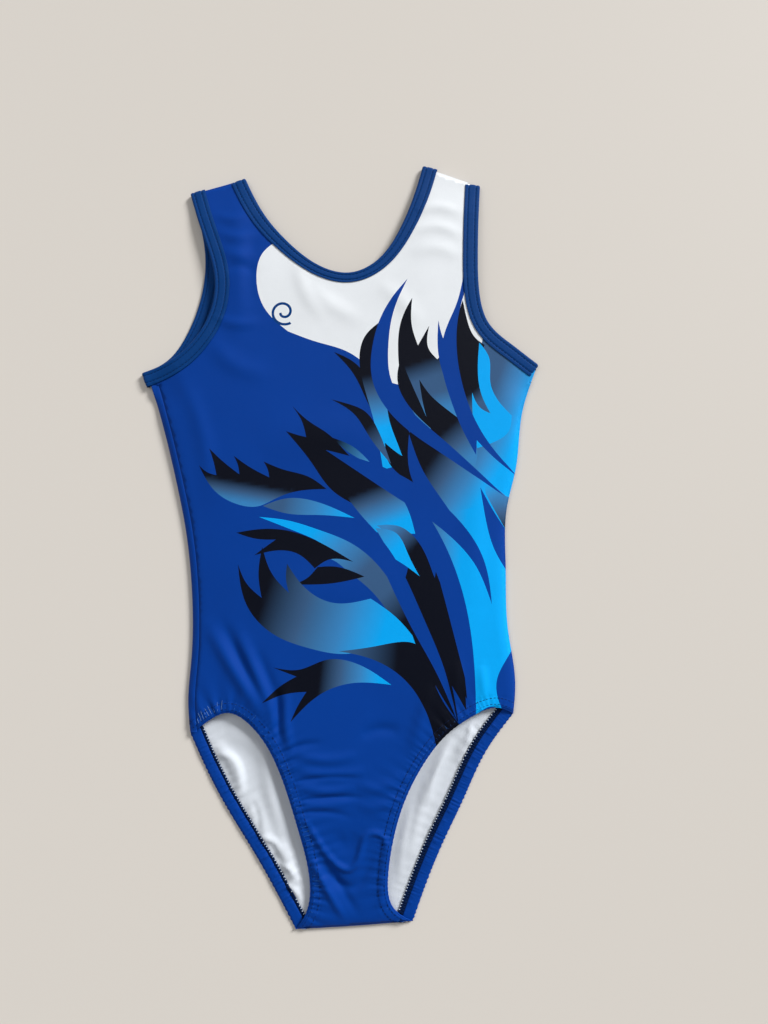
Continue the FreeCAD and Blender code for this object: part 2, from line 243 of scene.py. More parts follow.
def within(xy, outline):
    """Which of the points lie inside the closed outline."""
    found = np.zeros(len(xy), bool)
    low, high = outline.min(0), outline.max(0)
    chosen = np.where(((xy >= low) & (xy <= high)).all(1))[0]
    start, end = outline, np.roll(outline, -1, axis=0)
    rise = end[:, 1] - start[:, 1]
    rise[rise == 0] = 1e-12
    for part in portions(chosen):
        x, y = xy[part, 0][:, None], xy[part, 1][:, None]
        spans = (start[:, 1] > y) != (end[:, 1] > y)
        crossing = start[:, 0] + (y - start[:, 1]) / rise * (end[:, 0] - start[:, 0])
        found[part] = (spans & (x < crossing)).sum(1) % 2 == 1
    return found


# ---------------------------------------------------------------- how the cloth lies

def ease(share):
    """0 below 0 and 1 above 1, smoothly in between."""
    share = np.clip(share, 0, 1)
    return share * share * (3 - 2 * share)


def wander(along, period, seed):
    """A wave of roughly that period, whose height and pace change along the way."""
    drift = 1.7 * np.sin(along / (period * 2.3) + seed) + 1.1 * np.sin(along / (period * 0.9) + 3 * seed)
    swell = 0.65 + 0.35 * np.sin(along / (period * 1.4) + 5 * seed)
    return swell * np.sin(2 * math.pi * along / period + drift)


def ridges(xy, folds):
    """Height of the soft folds, each a line of points with a width and a height."""
    height = np.zeros(len(xy))
    for points, width, rise in folds:
        line = Edge(*points)
        along, inwards = line.near(xy, 4 * width)
        taper = np.sin(math.pi * np.clip(along / line.length, 0.02, 0.98)) ** 0.7
        height += rise * taper * bump_at(inwards, width)
    return height


# Folds of the front and back: points along each, its width, and its height or depth
FRONT_FOLDS = (
    (((-100, -66), (-82, -98), (-60, -133)), 5.0, 1.7),
    (((-90, -64), (-74, -96), (-57, -128)), 4.0, -1.2),
    (((-79, -70), (-66, -102), (-50, -140)), 5.0, 1.7),
    (((-66, -84), (-55, -112), (-47, -140)), 4.0, -1.0),
    (((-50, -112), (-51, -132), (-49, -152)), 2.5, -1.5),
    (((-44, -114), (-45, -134), (-42, -158)), 3.0, 1.1),
    (((-40, -158), (-18, -163), (6, -160)), 3.5, 0.9),
    (((-39, -169), (-14, -174), (12, -171)), 3.5, 1.0),
    (((-37, -181), (-16, -185), (4, -182)), 3.0, 0.9),
    (((-35, -193), (-18, -195), (0, -192)), 3.0, 0.7),
    (((36, -176), (20, -184), (4, -180)), 4.0, 0.8),
    (((33, -190), (18, -197), (4, -194)), 3.5, 0.7),
    (((-36, -200), (-24, -219), (-12, -235), (-3, -239), (5, -229), (12, -215), (20, -216),
      (24, -234)), 2.0, 1.5),
    (((-25, -231), (-11, -248), (-1, -252), (8, -243), (14, -229)), 3.2, -1.0),
    (((-14, -214), (-4, -222), (4, -214)), 6.0, -0.8),
    (((-31, -226), (-20, -250), (-7, -273)), 2.6, 1.5),
    (((-21, -228), (-10, -250), (2, -270)), 3.0, -1.0),
    (((24, -214), (22, -236), (18, -268)), 3.0, 1.0),
    (((-42, -178), (-18, -175), (6, -176)), 1.7, -1.1),
    (((-39, -191), (-14, -189), (9, -190)), 1.7, -1.1),
    (((-52, -159), (-36, -153), (-20, -151)), 2.2, -0.9),
    (((-42, -200), (-20, -199), (0, -203)), 2.0, -0.7),
    (((8, -148), (22, -143), (36, -145)), 4.0, -0.9),
    (((62, -112), (52, -136), (44, -160)), 5.0, 1.1),
    (((80, -96), (78, -112), (76, -128)), 4.0, 0.9),
    (((97, -100), (97, -114), (98, -126)), 3.5, 0.9),
    (((-76, 262), (-74, 225), (-72, 180), (-80, 140)), 9.0, 0.9),
    (((-62, 236), (-66, 205), (-67, 170)), 6.0, -0.7),
    (((-92, 246), (-80, 241), (-66, 244)), 3.5, 0.7),
    (((-90, 232), (-78, 226), (-58, 230)), 3.5, 0.8),
    (((-86, 216), (-74, 211), (-60, 214)), 4.0, 0.7),
    (((-84, 199), (-74, 203), (-62, 198)), 3.5, -0.7),
    (((-92, 164), (-78, 158), (-58, 160)), 3.5, 0.8),
    (((-30, 205), (-24, 180), (-10, 160)), 5.0, 0.6),
    (((-98, 150), (-80, 128), (-52, 118)), 7.0, 0.8),
    (((-118, 118), (-104, 80), (-98, 30)), 6.0, 0.8),
    (((60, 242), (76, 246), (96, 240)), 4.0, 0.7),
    (((58, 226), (76, 230), (96, 222)), 4.0, 0.7),
    (((56, 208), (74, 213), (94, 205)), 5.0, 0.6),
    (((-22, 188), (-4, 170), (18, 158)), 6.0, 0.6),
    (((30, 186), (48, 172), (62, 150)), 6.0, 0.5),
    (((-60, 60), (-20, 74), (30, 60)), 16.0, 0.8),
    (((-70, -30), (-20, -44), (40, -30)), 18.0, 0.7),
    (((104, 60), (96, 0), (92, -60)), 9.0, 0.7),
)

BACK_FOLDS = (
    (((-98, -150), (-84, -168), (-80, -190)), 4.0, 1.3),
    (((-74, -186), (-66, -206), (-58, -228)), 5.0, 1.2),
    (((-62, -150), (-58, -184), (-48, -222)), 6.0, 1.2),
    (((-52, -216), (-46, -236), (-42, -256)), 4.0, 1.3),
    (((-90, -140), (-70, -150), (-56, -166)), 7.0, 0.9),
    (((-97, -158), (-86, -160), (-80, -170), (-79, -186)), 2.2, 0.9),
    (((-72, -190), (-68, -200), (-66, -214)), 2.4, -0.8),
    (((-66, -216), (-56, -220), (-50, -232)), 2.2, 1.0),
    (((-54, -236), (-46, -238), (-40, -248)), 2.0, 0.9),
    (((-50, -250), (-44, -252), (-38, -262)), 1.8, 0.8),
    (((88, -140), (86, -150), (82, -160)), 1.8, 0.8),
    (((70, -160), (60, -178), (54, -196)), 1.8, 0.9),
    (((92, -146), (82, -156), (78, -170)), 4.0, 0.9),
    (((74, -150), (62, -172), (50, -200)), 4.0, 1.2),
    (((58, -176), (48, -204), (38, -238)), 4.0, 1.2),
    (((44, -196), (36, -222), (32, -250)), 3.5, 0.9),
)


def bump_at(gap, width):
    """A rounded bump of height 1 where the gap is 0."""
    return np.exp(-((gap / width) ** 2))


def distance(xy, edges, signed=False):
    """How far each point is from the nearest edge. If signed, it is negative outside the edge."""
    found = np.full(len(xy), FAR)
    for edge in edges:
        inwards = edge.near(xy)[1]
        found = np.minimum(found, inwards if signed else np.abs(inwards))
    return found


def gathers(xy, hems, seed):
    """Ripples that the leg elastic draws into the cloth, fine at the hem and broader further in.
    They change in steps of a millimetre inwards, which makes them crisp. The first hem, at the right
    leg, is drawn up more."""
    height = np.zeros(len(xy))
    for number, hem in enumerate(hems):
        along, inwards = hem.near(xy, GATHER_REACH)
        inwards = np.trunc(inwards)
        fine = bump_at(inwards - 5.0, 5.0)
        broad = ease(inwards / 6) * np.clip(1 - inwards / GATHER_REACH, 0, 1) ** 1.5
        ends = ease(along / 12) * ease((hem.length - along) / 12)
        drawn = 1.0 if number == 0 else 0.6
        ripple = 0.5 * drawn * fine * wander(along, 3.4, seed + number)
        ripple += 0.7 * drawn * broad * wander(along, 7.0, seed + 2 + number)
        for row in HEM_ROWS:
            ripple -= 0.22 * bump_at(inwards - row, ROW_DIP)
        height += ends * ripple
    return height


def front_height(xy):
    """Middle of the front panel's cloth above the floor: an arch with folds, which comes down
    straight at the straps and underarms, rolls down to the seams, and dips along the right one."""
    x, y = xy.T
    half_width = 100 + 32 * ease((y + 20) / 145)
    arch = 1 / (1 + (x / half_width) ** 6) / (1 + (y / 240) ** 12)
    height = FRONT_EDGE + FRONT_ARCH * arch
    height = height + FRONT_CREASING * ridges(xy, FRONT_FOLDS) + gathers(xy, FRONT_HEMS, 0.4)
    thick = distance(xy, THICK_EDGES)
    height = FRONT_EDGE + (height - FRONT_EDGE) * ease(thick / 26)
    roll = np.sqrt(1 - (1 - np.clip(distance(xy, SEAMED_EDGES) / SEAM_ROLL, 0, 1)) ** 2)
    meet = SEAM_FRONT + (FRONT_EDGE - SEAM_FRONT) * bump_at(thick, 6)
    height = meet + (height - meet) * roll
    return height - SEAM_DIP * bump_at(SIDE_RIGHT.near(xy)[1] - SIDE_WRAP, 1.1)


def back_height(xy):
    """Middle of the back panel's cloth above the floor. It is folded where the leg holes show it,
    flatter under the front, and raised a little in its bindings and seams."""
    covered = distance(xy, FRONT_HEMS, signed=True)
    folds = np.clip(BACK_CREASING * ridges(xy, BACK_FOLDS) + gathers(xy, BACK_HEMS, 2.2), 0, None)
    height = BACK_FLAT + folds * (0.25 + 0.75 * ease(-covered / 8))
    bound = 1 - ease((distance(xy, BACK_BOUND, signed=True) - 11) / 5)
    height = np.maximum(height, BACK_FLAT + (BACK_IN_BINDING - BACK_FLAT) * bound)
    return height + (SEAM_BACK - BACK_FLAT) * (1 - ease(distance(xy, SEAMED_EDGES) / 4))


def kept_inside(edge, xy, margin):
    """The points, with any that lie outside an edge moved just inside it."""
    along_it, inwards = edge.near(xy, 20.0)
    ahead = edge.place(along_it)[1]
    return xy + left_of(ahead) * np.clip(margin - inwards, 0, None)[:, None]


class Hoop:
    """An opening's edge all the way round: over the front, down, and back along the back panel."""

    TURN_ROOM = 1.4        # left at an edge's ends for the turns
    THINNEST = 0.06        # least half gap between the front and the back
    MARGIN = 0.4           # how far points stay within the closed edges at its ends
    LOWEST = 0.02

    def __init__(self, front, back, step, closing=()):
        self.closing = closing
        front_run, back_run = self.run(front, step), self.run(back, step)[::-1]
        share = np.linspace(0, 1, 9)[1:-1]
        down = front_run[-1] + share[:, None] * (back_run[0] - front_run[-1])
        up = front_run[0] + share[::-1, None] * (back_run[-1] - front_run[0])
        runs = (front_run, down, back_run, up)
        sizes = [len(run) for run in runs]
        self.xy, ahead = np.split(np.concatenate(runs), 2, axis=1)
        self.ahead = unit(ahead)
        self.turn = math.pi * np.concatenate([np.zeros(sizes[0]), share, np.ones(sizes[2]), share[::-1]])
        self.sign = np.repeat((0, 1, 0, -1), sizes)
        self.count = sum(sizes)
        self.on_front = self.turn == 0
        self.front_share = np.zeros(self.count)
        self.front_share[:sizes[0]] = np.linspace(0, 1, sizes[0])
        hops = np.linalg.norm(np.diff(self.xy, axis=0), axis=1)
        self.at = np.concatenate([[0], np.cumsum(np.maximum(hops, 0.3))])

    def run(self, edge, step):
        """Places and directions along one edge."""
        count = int((edge.length - 2 * self.TURN_ROOM) / step) + 1
        along = np.linspace(self.TURN_ROOM, edge.length - self.TURN_ROOM, count)
        return np.concatenate(edge.place(along), 1)

    def lay(self, inwards, outwards):
        """Points for each station (rows) and each place in the cross-section (columns)."""
        inwards = np.broadcast_to(inwards, (self.count, np.shape(inwards)[-1]))
        xy = self.xy[:, None] + left_of(self.ahead)[:, None] * inwards[..., None]
        front = front_height(xy.reshape(-1, 2)).reshape(inwards.shape)
        back = back_height(xy.reshape(-1, 2)).reshape(inwards.shape)
        radius = np.maximum((front - back) / 2 + outwards, self.THINNEST)
        turn = self.turn[:, None]
        reach = radius * np.sin(turn) * self.sign[:, None]
        xy = xy + self.ahead[:, None] * reach[..., None]
        for edge in self.closing:
            xy = kept_inside(edge, xy.reshape(-1, 2), self.MARGIN).reshape(xy.shape)
        return raised(xy, np.maximum((front + back) / 2 + radius * np.cos(turn), self.LOWEST))

    def lay_row(self, inwards, outwards):
        """Points in one row, at one distance inwards or a list of them."""
        return self.lay(np.broadcast_to(inwards, self.count)[:, None], outwards)[:, 0]


NECK = Hoop(FRONT_NECK, BACK_NECK, 1.2)
ARM_LEFT = Hoop(FRONT_ARM_LEFT, BACK_ARM_LEFT, 1.2)
ARM_RIGHT = Hoop(FRONT_ARM_RIGHT, BACK_ARM_RIGHT, 1.2)
LEG_LEFT = Hoop(FRONT_LEG_LEFT, BACK_LEG_LEFT, 0.7, closing=(SIDE_LEFT, CROTCH))
LEG_RIGHT = Hoop(FRONT_LEG_RIGHT, BACK_LEG_RIGHT, 0.7, closing=(SIDE_RIGHT, CROTCH))


# ---------------------------------------------------------------- colours and the print

def ink(red, green, blue):
    """A display colour, 0 to 255, as the linear one that a shader takes."""
    shares = [c / 255 for c in (red, green, blue)]
    return np.array([c / 12.92 if c <= 0.04045 else ((c + 0.055) / 1.055) ** 2.4 for c in shares])


ROYAL = ink(0, 59, 148)
WHITE = ink(232, 236, 240)
BLACK = ink(6, 10, 24)
SLATE = ink(56, 90, 130)
STEEL = ink(56, 130, 190)
SKY = ink(0, 166, 244)
TEAL = ink(0, 58, 122)
NAVY = ink(2, 26, 66)
# White of the cloth's inside, with a faint blue tint, greyed with painted shade for the shade that falls
# inside the garment
INSIDE_WHITE_AND_PAINTED_SHADE = ink(212, 218, 226)
# Light blue of the short threads across the leg hems: partly a thread colour, partly a painted highlight
# that stands for the highlights on the hem's puckers
TICK_BLUE_AND_PAINTED_HIGHLIGHT = ink(50, 112, 190)
ICE = ink(196, 212, 230)
HAZE = ink(120, 160, 206)
ECRU = ink(225, 222, 212)
FLOOR = ink(214, 208, 200)


def blade(spine, width, widest):
    """Outline of a curved blade, pointed at both ends of its spine and widest at that share of it."""
    line = Edge(*spine)
    share = line.at / line.length
    rising = np.sin(math.pi / 2 * np.clip(share / widest, 0, 1))
    falling = np.cos(math.pi / 2 * np.clip((share - widest) / (1 - widest), 0, 1))
    half = width / 2 * np.where(share < widest, rising, falling)
    every = slice(None, None, 2)
    left = line.inside(line.at, half)[every]
    right = line.inside(line.at, -half)[every]
    return np.concatenate([left, line.xy[-1:], right[::-1]])


def flame(start, *runs):
    """A closed outline of smooth curves that meet in sharp points. Each curve starts where the one
    before it ends, and the last one ends at the start."""
    found = []
    for run in runs:
        found.append(smooth((start,) + run, 1.5)[:-1])
        start = run[-1]
    return np.concatenate(found)


def curl(centre, wide, turns, thick):
    """A thin line that winds in on itself."""
    angle = np.linspace(0, turns * 2 * math.pi, 60)
    radius = wide * (1 - 0.75 * angle / angle[-1])
    line = np.stack([np.sin(angle + 2.6), np.cos(angle + 2.6)], 1)
    outer = np.array(centre) + line * (radius + thick / 2)[:, None]
    inner = np.array(centre) + line * (radius - thick / 2)[:, None]
    return np.concatenate([outer, inner[::-1]])


def fade(start, end, *colours):
    """Colours that blend evenly from one point to another."""
    return np.array(start, float), np.array(end, float), np.array(colours)


def plain(colour):
    """One colour everywhere, in the form of a fade."""
    return fade((0, 0), (1, 0), colour, colour)


# Outline and colours of each printed shape, in the order in which they lie over each other
PRINT = [
    # the white yoke, with its curl
    (flame((-42, 224), ((-56, 213), (-61, 192), (-55, 169), (-38, 151)),
           ((-16, 142), (6, 134), (30, 112)), ((62, 104), (96, 112), (116, 132)),
           ((126, 180), (124, 280)), ((80, 300), (30, 262), (-42, 224))), plain(WHITE)),
    (curl((-41, 166), 10.0, 1.3, 2.0), plain(TEAL)),
    # the light mass at the wearer's left, from the armhole down to the leg
    (flame((108, 142), ((124, 134), (138, 126), (152, 116)), ((146, 80), (130, 34)),
           ((112, 40), (98, 62), (98, 96), (108, 142))),
     fade((104, 116), (144, 98), SLATE, SLATE, STEEL, SKY)),
    (flame((52, 82), ((76, 76), (104, 64), (130, 44)), ((124, 14), (112, -4), (100, -20)),
           ((78, -10), (58, 12), (50, 42), (52, 82))),
     fade((58, 64), (106, 28), BLACK, BLACK, SLATE, STEEL, SKY)),
    (flame((62, 6), ((72, -28), (80, -66), (86, -98), (90, -136)), ((104, -130), (112, -138)),
           ((107, -112), (114, -98), (124, -84)), ((124, -40), (126, 0), (122, 16)),
           ((96, 14), (62, 6))), fade((58, 0), (88, -6), SLATE, STEEL, SKY)),
    (flame((103, 36), ((112, 29), (120, 22)), ((132, 20),), ((124, -12),), ((114, 6), (105, 24)),
           ((103, 36),)), fade((106, 34), (121, -2), SKY, STEEL, SLATE, BLACK)),
    # flames that rise into the yoke, from the wearer's right to the left
    (blade(((-4, 134), (12, 120), (21, 100), (29, 76)), 7, 0.4), plain(BLACK)),
    (flame((31, 156), ((20, 146), (15, 130), (18, 106), (24, 82), (30, 44)), ((46, 48),),
           ((44, 78), (38, 104), (34, 130), (31, 156))),
     fade((26, 116), (33, 76), BLACK, SLATE, STEEL, SKY)),
    (flame((34, 98), ((36, 80), (41, 64), (46, 49)), ((57, 32), (61, 52)), ((50, 72), (34, 98))),
     plain(BLACK)),
    (flame((32, 64), ((34, 50), (42, 40), (62, 26)), ((56, 46), (44, 54), (32, 64))), plain(BLACK)),
    (flame((56, 174), ((47, 156), (44, 134), (46, 108), (54, 86), (66, 70)), ((92, 66),),
           ((86, 92), (84, 124), (81, 139)), ((77, 130), (73, 126)),
           ((67, 134), (68, 152)), ((62, 142), (59, 137)), ((55, 152), (56, 174))),
     fade((58, 124), (70, 86), BLACK, SLATE, SLATE, STEEL)),
    (blade(((46, 128), (47, 112), (54, 94), (67, 73)), 10, 0.4), plain(BLACK)),
    (flame((59, 111), ((66, 100), (76, 90), (92, 77)), ((100, 56), (98, 44)),
           ((74, 60), (64, 80), (59, 111))), fade((70, 84), (96, 52), BLACK, BLACK, SLATE, STEEL)),
    (flame((94, 171), ((88, 154), (85, 130), (89, 104), (96, 82), (103, 64)), ((112, 72), (116, 92)),
           ((110, 112), (105, 126), (109, 136)), ((102, 142), (97, 154), (94, 171))),
     fade((98, 112), (114, 88), BLACK, BLACK, SLATE, SLATE)),
    (flame((105, 138), ((112, 126), (112, 108), (117, 94), (127, 82)),
           ((124, 70), (112, 62), (100, 58)), ((98, 76), (98, 100)), ((104, 88), (111, 84)),
           ((105, 98), (103, 116), (105, 138))),
     fade((110, 76), (124, 68), SKY, SKY)),
    # ribbons of the ground colour that cross the flames
    (blade(((53, 189), (38, 164), (31, 138), (31, 112), (46, 85), (74, 60), (100, 38), (119, 22)),
           13.5, 0.4), plain(ROYAL)),
    (flame((96, 194), ((89, 168), (80, 148), (76, 124), (81, 98), (89, 74), (99, 53)), ((100, 64),),
           ((112, 51), (130, 36)), ((113, 56), (100, 78), (92, 102), (88, 130), (90, 158), (98, 184)),
           ((96, 194),)), plain(ROYAL)),
    (flame((75, 156), ((78, 142), (86, 128)), ((80, 104),), ((74, 130), (75, 156))), plain(ROYAL)),
    # tongues that point to the wearer's right
    (flame((-7, 98), ((6, 94), (18, 88), (27, 74), (36, 48)), ((20, 70), (10, 86), (-7, 98))),
     fade((10, 90), (30, 62), BLACK, BLACK, SLATE)),
    (flame((-7, 69), ((8, 62), (22, 48)), ((6, 57), (-7, 69))), fade((-4, 66), (18, 52), BLACK, STEEL)),
    (flame((-36, 94), ((-24, 82), (-10, 72), (3, 58), (15, 46), (42, 32)), ((22, 18), (10, 18)),
           ((-8, 30), (-22, 50), (-41, 75)), ((-33, 72), (-26, 70)), ((-29, 82), (-36, 94))),
     plain(BLACK)),
    (flame((-2, 32), ((16, 34), (36, 30), (48, 12), (52, -4)), ((24, -2),), ((12, 12), (-2, 32))),
     fade((20, 30), (30, 2), BLACK, SLATE, STEEL, SKY)),
    (flame((-106, 52), ((-99, 46), (-93, 44)), ((-95, 54), (-98, 64)), ((-88, 54), (-76, 44)),
           ((-77, 51), (-80, 58)), ((-68, 49), (-54, 41)), ((-55, 47), (-58, 53)),
           ((-42, 46), (-26, 41), (-12, 31)),
           ((-34, 30), (-50, 25), (-62, 20), (-78, 22), (-94, 32), (-106, 52))),
     fade((-60, 35), (-63, 21), BLACK, SLATE, STEEL)),
    (flame((-59, 20), ((-42, 25), (-20, 22), (8, 9)), ((-18, 12), (-42, 14), (-59, 20))),
     fade((-44, 22), (2, 10), SLATE, STEEL, SKY)),
    (flame((-62, 12), ((-42, 9), (-18, 1), (6, -10), (24, -26), (40, -52), (54, -88)),
           ((36, -68), (20, -46), (2, -30)), ((-12, -20), (-26, -21)), ((-14, -14), (-34, 0), (-62, 12))),
     fade((-22, 0), (42, -66), SKY, STEEL, SLATE, SLATE, BLACK)),
    (flame((-79, 1), ((-62, 3), (-40, 1), (-18, -8), (6, -23)), ((-12, -21), (-22, -27)),
           ((-34, -16), (-46, -13), (-66, -16)), ((-56, -9), (-50, -5)), ((-64, -4), (-79, 1))),
     plain(BLACK)),
    (flame((-38, -38), ((-28, -34), (-20, -26)), ((-8, -26), (14, -34)), ((-8, -38), (-38, -38))),
     plain(BLACK)),
    (flame((-78, -22), ((-72, -36), (-61, -47)), ((-63, -30), (-60, -10)), ((-53, -30), (-41, -44)),
           ((-43, -34), (-42, -23)), ((-30, -40), (-10, -52), (18, -50)), ((36, -64), (52, -84)),
           ((24, -85), (0, -89), (-28, -84), (-52, -74), (-72, -52), (-78, -22))),
     fade((-60, -50), (24, -80), BLACK, SLATE, STEEL, SKY)),
    (flame((-54, -97), ((-34, -99), (-16, -93), (6, -96), (31, -112)),
           ((2, -110), (-20, -117), (-42, -136)), ((-36, -124), (-30, -115)),
           ((-44, -116), (-62, -122)), ((-48, -110), (-37, -104)), ((-54, -97),)),
     fade((-20, -104), (22, -110), BLACK, SLATE, STEEL, SKY)),
    # streams that run down to the left leg
    (flame((-6, -87), ((22, -84), (50, -84), (62, -112), (80, -143)), ((70, -150), (62, -158)),
           ((56, -134), (40, -108), (14, -92), (-6, -87))), fade((0, -88), (36, -92), SLATE, BLACK)),
    (flame((24, 3), ((40, 2), (54, -10), (64, -34)), ((80, -80), (84, -118), (84, -132)),
           ((70, -106), (52, -74), (40, -44)), ((46, -24), (24, 3))),
     fade((30, 0), (46, -18), STEEL, SLATE, BLACK)),
    (flame((66, -32), ((74, -56), (82, -90), (85, -124)), ((70, -90), (60, -60)), ((66, -32),)),
     plain(BLACK)),
    (blade(((40, -40), (54, -76), (66, -106), (78, -140)), 15, 0.5), plain(BLACK)),
    (flame((23, 1), ((38, -3), (46, -18), (54, -35)), ((44, -27), (35, -21)), ((28, -8), (23, 1))),
     fade((24, 0), (50, -30), STEEL, SKY, SKY)),
    (blade(((4, 16), (24, -10), (40, -42), (52, -70), (66, -102), (77, -138)), 12, 0.4), plain(ROYAL)),
    (blade(((46, 34), (64, -4), (80, -58), (91, -140)), 14, 0.5), plain(ROYAL)),
    (blade(((-12, 60), (20, 44), (52, 24), (80, 0), (98, -26), (106, -57)), 16, 0.4), plain(ROYAL)),
    (blade(((50, 70), (55, 40), (70, 16), (88, -4)), 11, 0.5), plain(ROYAL)),
    (flame((101, 29), ((104, 6), (110, -18), (120, -36)), ((128, -16),), ((112, 8), (101, 29))),
     plain(ROYAL)),
]


def printed(xy, where=None):
    """Colour of the print at each point. Where decides which shape a point belongs to."""
    where = xy if where is None else where
    colours = np.tile(ROYAL, (len(xy), 1))
    for outline, (start, end, stops) in PRINT:
        hit = within(where, outline)
        run = end - start
        share = np.clip((xy[hit] - start) @ run / (run @ run), 0, 1) * (len(stops) - 1)
        lower = np.minimum(share.astype(int), len(stops) - 2)
        part = (share - lower)[:, None]
        colours[hit] = stops[lower] * (1 - part) + stops[lower + 1] * part
    return colours


# ---------------------------------------------------------------- meshes

def piece(name, points, faces, materials, parts=None):
    """A mesh object in metres. Parts gives the material number of each face."""
    mesh = bpy.data.meshes.new(name)
    mesh.from_pydata((np.asarray(points) * MM).tolist(), [], [list(map(int, f)) for f in faces])
    for material in materials:
        mesh.materials.append(material)
    if parts is not None:
        mesh.polygons.foreach_set("material_index", np.asarray(parts, np.int32))
    mesh.polygons.foreach_set("use_smooth", np.ones(len(mesh.polygons), bool))
    mesh.update()
    made = bpy.data.objects.new(name, mesh)
    bpy.context.scene.collection.objects.link(made)
    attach(made, "root")
    return made


def paint(made, colours):
    """Gives each face corner its colour."""
    layer = made.data.color_attributes.new(name="print", type="FLOAT_COLOR", domain="CORNER")
    full = np.concatenate([colours, np.ones((len(colours), 1))], 1)
    layer.data.foreach_set("color", full.ravel())


def corner_vertices(made):
    """The vertex at each corner of each face."""
    return np.array([vertex for face in made.data.polygons for vertex in face.vertices])


def triangles(outline, cuts, loose):
    """Splits the outlined region into triangles that follow the outline and every cut."""
    points = [outline]
    links = [(i, (i + 1) % len(outline)) for i in range(len(outline))]
    for line, closed in cuts:
        base = sum(map(len, points))
        points.append(line)
        count = len(line)
        links += [(base + i, base + i + 1) for i in range(count - 1)]
        if closed:
            links.append((base + count - 1, base))
    points.append(loose)
    flat = np.concatenate(points)
    triangulated, tolerance = 0, 1e-4
    found = delaunay_2d_cdt([Vector(point) for point in flat.tolist()], links, [], triangulated, tolerance)
    xy = np.array([tuple(vertex) for vertex in found[0]])
    faces = np.array([face for face in found[2] if len(face) == 3])
    return xy, faces[within(xy[faces].mean(1), outline)]


# How far in from a leg's edge the rows of close vertices lie
HEM_LINES = (1.6, 2.6, 3.5, 4.7, 5.9, 7.0, 7.9, 9.2, 10.6, 12.0, 13.4)
CLEARANCE = 0.8            # and how far loose vertices stay from every line


def spread(outline, cuts, hems):
    """Loose points inside an outline, closer together along the hems."""
    low, high = outline.min(0), outline.max(0)
    grids = []
    for step, start, stop in ((GRID, FOLDED_BELOW, high[1]), (FINE_GRID, low[1], FOLDED_BELOW)):
        across = np.arange(low[0], high[0], step)
        up = np.arange(start, stop, step * 0.866)
        x, y = np.meshgrid(across, up)
        x = x + np.where(np.arange(len(up)) % 2, step / 2, 0)[:, None]
        grids.append(np.stack([x.ravel(), y.ravel()], 1))
    grid = np.concatenate(grids)
    fine = []
    for hem_edge in hems:
        grid = grid[np.abs(hem_edge.near(grid, HEM_REACH + 2)[1]) > HEM_REACH]
        along_it = np.arange(0, hem_edge.length, FINE)
        fine += [hem_edge.inside(along_it, inwards) for inwards in HEM_LINES]
    points = np.concatenate([grid] + fine)
    points = points[within(points, outline)]
    lines = np.concatenate([outline] + [line for line, _ in cuts])
    used = {tuple(cell) for cell in np.floor(lines / CLEARANCE).astype(int)}
    near_cells = {(i + a, j + b) for i, j in used for a in (-1, 0, 1) for b in (-1, 0, 1)}
    cells = np.floor(points / CLEARANCE).astype(int)
    return points[np.array([tuple(cell) not in near_cells for cell in cells])]


def cut_out(outline, insets, hems, art):
    """Vertices on the plan and triangles, all turned the same way, of a panel without its edges."""
    cuts = [(shape, True) for shape in art]
    for edge, inset in insets:
        cuts.append((edge.inside(np.arange(-4, edge.length + 4, 1.5), inset), False))
    xy, faces = triangles(outline, cuts, spread(outline, cuts, hems))
    middles = xy[faces].mean(1)
    keep = np.ones(len(faces), bool)
    for edge, inset in insets:
        keep &= edge.near(middles)[1] > inset
    used, faces = np.unique(faces[keep], return_inverse=True)
    xy, faces = xy[used], faces.reshape(-1, 3)
    turn = np.cross(xy[faces[:, 1]] - xy[faces[:, 0]], xy[faces[:, 2]] - xy[faces[:, 0]])
    return xy, np.where((turn < 0)[:, None], faces[:, ::-1], faces)


def cloth(name, outline_edges, insets, hems, height, art, under=False):
    """A panel of cloth with its outside printed or plain and its inside white. Insets say how far
    from an edge the cloth starts. Under turns the outside down."""
    xy, faces = cut_out(ring(outline_edges), insets, hems, art)
    if under:
        faces = faces[:, ::-1]
    middle, nudge = height(xy), 0.3
    slope = np.stack([height(xy + (nudge, 0)) - middle, height(xy + (0, nudge)) - middle], 1) / nudge
    normal = unit(np.concatenate([-slope, np.ones((len(xy), 1))], 1)) * (-1 if under else 1)
    place = raised(xy, middle)
    top, bottom = place + normal * HALF, place - normal * HALF
    count = len(xy)
    links = np.concatenate([faces[:, [0, 1]], faces[:, [1, 2]], faces[:, [2, 0]]])
    ways = {tuple(link) for link in links.tolist()}
    rim = np.array([link for link in ways if link[::-1] not in ways])
    sides = np.stack([rim[:, 1], rim[:, 0], rim[:, 0] + count, rim[:, 1] + count], 1)
    every = faces.tolist() + (faces[:, ::-1] + count).tolist() + sides.tolist()
    kinds = [0] * len(faces) + [1] * len(faces) + [0] * len(sides)
    made = piece(name, np.concatenate([top, bottom]), every, [PRINTED_KNIT, INSIDE_KNIT], kinds)
    where = np.repeat(xy[faces].mean(1), 3, axis=0)
    outside = printed(xy[faces].reshape(-1, 2), where) if art else np.tile(ROYAL, (len(where), 1))
    # the inside faces take the white greyed with painted shade
    inside = np.tile(INSIDE_WHITE_AND_PAINTED_SHADE, (len(where), 1))
    edge_xy = xy[sides.ravel() % count]
    around = printed(edge_xy) if art else np.tile(ROYAL, (len(edge_xy), 1))
    paint(made, np.concatenate([outside, inside, around]))
    return made


